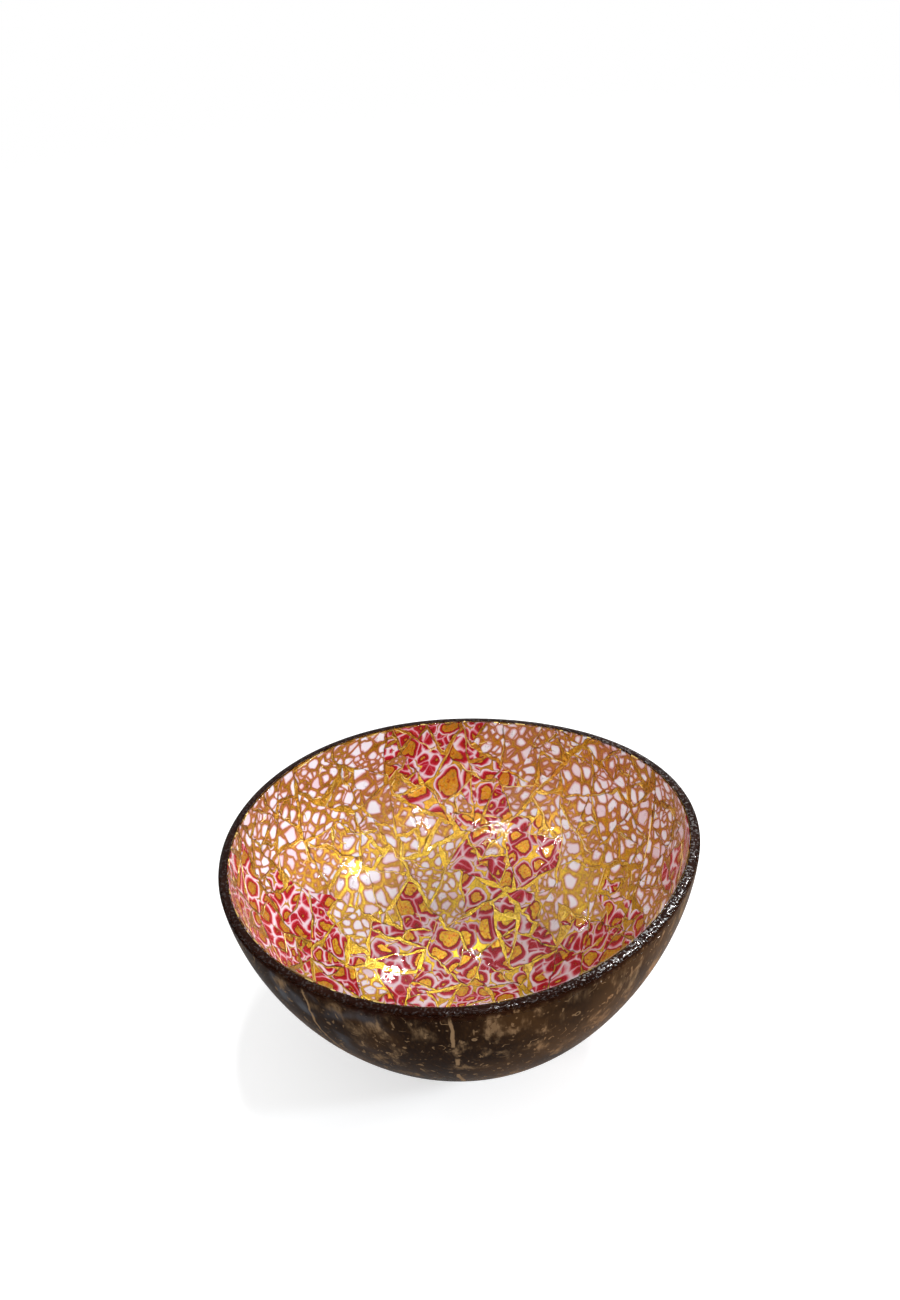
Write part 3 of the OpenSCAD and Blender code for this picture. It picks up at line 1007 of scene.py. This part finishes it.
def slivers_tree():
    """Runs thin gold slivers along some edges of the shards and in short strokes over them."""
    tree, given = new_tree(
        "Gold slivers", ("Width", "Lift", "Shortest", "Longest", "Strokes", "Sway"), LAID_INPUTS)
    shards = given["Geometry"]
    chosen = draw(tree, given, 7, 0.0, 1.0) < SLIVER_SHARE
    edges = tree.add("GeometryNodeMeshToCurve", {"Mesh": shards, "Selection": chosen})
    dots = tree.add("GeometryNodeDistributePointsOnFaces", {
        "Mesh": shards, "Density": given["Strokes"], "Seed": given["Seed"]})
    line = tree.add("GeometryNodeCurvePrimitiveLine", {
        "Start": (-0.5, 0, 0), "End": (0.5, 0, 0)})
    turn = tree.add("FunctionNodeAxisAngleToRotation", {
        "Axis": (0, 0, 1), "Angle": draw(tree, given, 9, 0.0, 2 * math.pi)})
    facing = tree.add("FunctionNodeRotateRotation", {
        "Rotation": dots.other("Rotation"), "Rotate By": turn}, rotation_space="LOCAL")
    strokes = tree.add("GeometryNodeInstanceOnPoints", {
        "Points": dots, "Instance": line, "Rotation": facing,
        "Scale": draw(tree, given, 10, given["Shortest"], given["Longest"])})
    strokes = tree.add("GeometryNodeRealizeInstances", {"Geometry": strokes})
    even = tree.add("GeometryNodeResampleCurve", {
        "Curve": tree.together(strokes, edges), "Length": SLIVER_STEP}, mode="LENGTH")
    position = tree.add("GeometryNodeInputPosition")
    wander = position.stray(330, 1).scaled(SLIVER_WANDER)
    place = swayed(position, given["Sway"]) + wander
    laid = even.moved(Position=snap(tree, given, place, given["Lift"]))
    thick_slivers_and_painted_glow = tree.add("GeometryNodeSetCurveRadius", {
        "Curve": laid, "Radius": place.noise(300, 1).step(0.42, 0.66)})
    ring = tree.add("GeometryNodeCurvePrimitiveCircle", {
        "Resolution": 6, "Radius": given["Width"] / 2})
    swept = tree.add("GeometryNodeCurveToMesh", {
        "Curve": thick_slivers_and_painted_glow, "Profile Curve": ring, "Fill Caps": True})
    return finish_tree(tree, swept, given)


def wanted(context):
    """The sizes and colours that the user has set."""
    return context.scene.bowl_sizes, context.scene.bowl_colours


class BuildShell(bpy.types.Operator):
    """Build the polished half shell with its sanded foot"""
    bl_idname = "bowl.shell"
    bl_label = "Coconut shell"

    def execute(self, context):
        sizes, colours = wanted(context)
        profile = Profile(sizes)
        top = profile.share_at(sizes.rim_round)
        outline = [profile.inset(top + (1 - top) * i / OUTER_ROWS, 0)
                   for i in range(OUTER_ROWS, 0, -1)]
        outline += profile.rim_edge(0, 0)
        outline += [profile.lining(i / INNER_ROWS, 0) for i in range(INNER_ROWS + 1)]
        piece = sweep("polished_shell", sizes, outline, shell_material(colours))
        cut_foot(piece)
        settle(piece, "coconut_shell")
        return {"FINISHED"}


class BuildRim(bpy.types.Operator):
    """Build the dark lacquer on the cut rim"""
    bl_idname = "bowl.rim"
    bl_label = "Rim lacquer"

    def execute(self, context):
        sizes, colours = wanted(context)
        profile = Profile(sizes)
        low = profile.share_at(sizes.rim_round + sizes.band_drop)
        top = profile.share_at(sizes.rim_round)
        coat, side = sizes.band_t, SIDE_COAT * sizes.band_t
        cover = sizes.ground_t + sizes.gold_t + sizes.band_cover
        inner = profile.radius - sizes.rim_wall - cover
        down = [low + (top - low) * i / EDGE_STEPS for i in range(EDGE_STEPS)]
        outline = [profile.inset(low, 0)]
        outline += [profile.inset(t, -side * (low - t) / (low - top)) for t in down]
        outline += profile.rim_edge(coat, side)
        outline += [(inner + coat, -coat), (inner, -coat / 2), (inner, 0)]
        outline += reversed(profile.rim_edge(0, 0))
        outline += [profile.inset(t, 0) for t in reversed(down)]
        piece = sweep("sealed_rim", sizes, outline, rim_material(colours))
        settle(piece, "rim_lacquer")
        return {"FINISHED"}


class BuildGround(bpy.types.Operator):
    """Build the pale ground coat"""
    bl_idname = "bowl.ground"
    bl_label = "Ground coat"

    def execute(self, context):
        sizes, colours = wanted(context)
        piece = sweep_coat("pale_ground", sizes, 0, sizes.ground_t, ground_material(colours))
        settle(piece, "ground_coat")
        return {"FINISHED"}


class BuildGold(bpy.types.Operator):
    """Build the gold lacquer that carries the shards"""
    bl_idname = "bowl.gold"
    bl_label = "Gold lacquer"

    def execute(self, context):
        sizes, colours = wanted(context)
        piece = sweep_coat("gold_bed", sizes, sizes.ground_t, sizes.gold_t, gold_material(colours))
        settle(piece, "gold_ground")
        return {"FINISHED"}


class BuildShards(bpy.types.Operator):
    """Lay the white and the red shards on the gold"""
    bl_idname = "bowl.shards"
    bl_label = "Shards"

    def execute(self, context):
        sizes, colours = wanted(context)
        shards = break_lining(sizes)
        white = lay_shards("white_film_shards", sizes, [o for o, red in shards if not red],
                           white_film_material(colours))
        settle(white, "white_shards")
        red = lay_shards("red_film_shards", sizes, [o for o, red in shards if red],
                         red_film_material(colours))
        settle(red, "red_shards")
        return {"FINISHED"}


class BuildSlivers(bpy.types.Operator):
    """Run gold slivers along some of the joints"""
    bl_idname = "bowl.slivers"
    bl_label = "Gold slivers"

    def execute(self, context):
        sizes = context.scene.bowl_sizes
        outlines = [outline for outline, _ in break_lining(sizes)]
        piece = lay_film("bright_slivers", sizes, outlines, slivers_tree(), {
            "Width": sizes.sliver_t, "Lift": SLIVER_LIFT, "Shortest": STROKE_LENGTHS[0],
            "Longest": STROKE_LENGTHS[1], "Strokes": STROKES, "Material": sliver_material()})
        settle(piece, "gold_slivers")
        return {"FINISHED"}


class BuildClear(bpy.types.Operator):
    """Pour the clear lacquer over the lining"""
    bl_idname = "bowl.clear"
    bl_label = "Clear lacquer"

    def execute(self, context):
        sizes = context.scene.bowl_sizes
        near = sizes.ground_t + sizes.gold_t + CLEAR_LIFT
        piece = sweep_coat("clear_coat", sizes, near, sizes.clear_t, clear_material(), sizes.wave_h)
        settle(piece, "clear_lacquer")
        return {"FINISHED"}


def seen_by(tree):
    """1 for the rays of the camera, of gloss and of glass, and 0 for all others."""
    path = tree.add("ShaderNodeLightPath", out="Is Camera Ray")
    return tree.most(path, path.other("Is Glossy Ray"), path.other("Is Transmission Ray"))


def build_floor():
    tree = new_material("White floor")
    paper = tree.add("ShaderNodeBsdfDiffuse", {"Color": PAPER})
    glow = tree.add("ShaderNodeEmission", {"Strength": seen_by(tree) * FLOOR_GLOW})
    lit = tree.add("ShaderNodeAddShader", {0: paper, 1: glow})
    away = tree.math("LENGTH", tree.here())
    faded = away.step(*FLOOR_FADE).mix(lit, tree.add("ShaderNodeBsdfTransparent"))
    mesh = bpy.data.meshes.new("floor")
    corners = ((-1, -1), (1, -1), (1, 1), (-1, 1))
    mesh.from_pydata([(x * FLOOR_HALF, y * FLOOR_HALF, 0) for x, y in corners], [], [range(4)])
    mesh.materials.append(finished(tree, faded))
    floor = new_object("floor", mesh)
    floor.location.z = -FLOOR_DROP


def build_world():
    world = bpy.data.worlds.new("Pale room")
    bpy.context.scene.world = world
    tree = empty_tree(world)
    strength = ROOM_LIGHT + seen_by(tree) * (1 - ROOM_LIGHT)
    sky = tree.add("ShaderNodeBackground", {"Color": WHITE, "Strength": strength})
    tree.add("ShaderNodeOutputWorld", {"Surface": sky})


def add_lamp(name, direction, distance, width, height, watts, colour):
    """A soft rectangular lamp that looks at the bowl from a direction in degrees."""
    lamp = bpy.data.lights.new(name, "AREA")
    lamp.shape = "RECTANGLE"
    lamp.size = width
    lamp.size_y = height
    lamp.energy = watts
    lamp.color = colour
    turn, rise = (math.radians(a) for a in direction)
    way = Vector((math.cos(turn) * math.cos(rise), math.sin(turn) * math.cos(rise),
                  math.sin(rise)))
    body = new_object(name, lamp)
    body.location = Vector((0, 0, LAMP_AIM)) + way * distance
    body.rotation_euler = way.to_track_quat("Z", "Y").to_euler()


def build_camera(sizes):
    camera = bpy.data.cameras.new("Camera")
    body = new_object("Camera", camera)
    bpy.context.scene.camera = body
    aim = Vector((0, 0, sizes.height))
    way = Vector((0, -math.cos(VIEW_RISE), math.sin(VIEW_RISE)))
    turn = way.to_track_quat("Z", "Y").to_matrix().to_4x4()
    body.matrix_world = (Matrix.Translation(aim + way * VIEW_DISTANCE) @ turn
                         @ Matrix.Rotation(VIEW_ROLL, 4, "Z"))
    camera.sensor_fit = "VERTICAL"
    camera.sensor_height = SENSOR
    camera.lens = RIM_RADIUS_PX / (sizes.rim_d / 2) * VIEW_DISTANCE / PICTURE_H * SENSOR
    camera.shift_x = (PICTURE_W / 2 - RIM_MIDDLE_X) / PICTURE_H
    camera.shift_y = (RIM_MIDDLE_Y - PICTURE_H / 2) / PICTURE_H
    camera.clip_start = NEAREST_SEEN


class BuildStage(bpy.types.Operator):
    """Set up the floor, the lights and the camera"""
    bl_idname = "bowl.stage"
    bl_label = "Stage"

    def execute(self, context):
        build_floor()
        build_world()
        for name, lamp in LAMPS.items():
            add_lamp(name, *lamp)
        build_camera(context.scene.bowl_sizes)
        bpy.context.scene.view_settings.view_transform = "Standard"
        return {"FINISHED"}


class BowlPanel(bpy.types.Panel):
    """Sizes, colours and build steps of the bowl"""
    bl_idname = "VIEW3D_PT_bowl"
    bl_label = "Coconut shell bowl"
    bl_space_type = "VIEW_3D"
    bl_region_type = "UI"
    bl_category = "Bowl"

    def draw(self, context):
        for group in (context.scene.bowl_sizes, context.scene.bowl_colours):
            column = self.layout.column()
            for name in group.__annotations__:
                column.prop(group, name)
        for step in STEPS:
            self.layout.operator(step.bl_idname)


STEPS = (BuildShell, BuildRim, BuildGround, BuildGold, BuildShards, BuildSlivers, BuildClear,
         BuildStage)
CLASSES = (BowlSizes, BowlColours, *STEPS, BowlPanel)


def register():
    for group in CLASSES:
        bpy.utils.register_class(group)
    bpy.types.Scene.bowl_sizes = bpy.props.PointerProperty(type=BowlSizes)
    bpy.types.Scene.bowl_colours = bpy.props.PointerProperty(type=BowlColours)


def unregister():
    del bpy.types.Scene.bowl_colours
    del bpy.types.Scene.bowl_sizes
    for group in reversed(CLASSES):
        bpy.utils.unregister_class(group)


def main():
    register()
    bpy.ops.bowl.shell()
    bpy.ops.bowl.rim()
    bpy.ops.bowl.ground()
    bpy.ops.bowl.gold()
    bpy.ops.bowl.shards()
    bpy.ops.bowl.slivers()
    bpy.ops.bowl.clear()
    bpy.ops.bowl.stage()


if __name__ == "__main__":
    main()
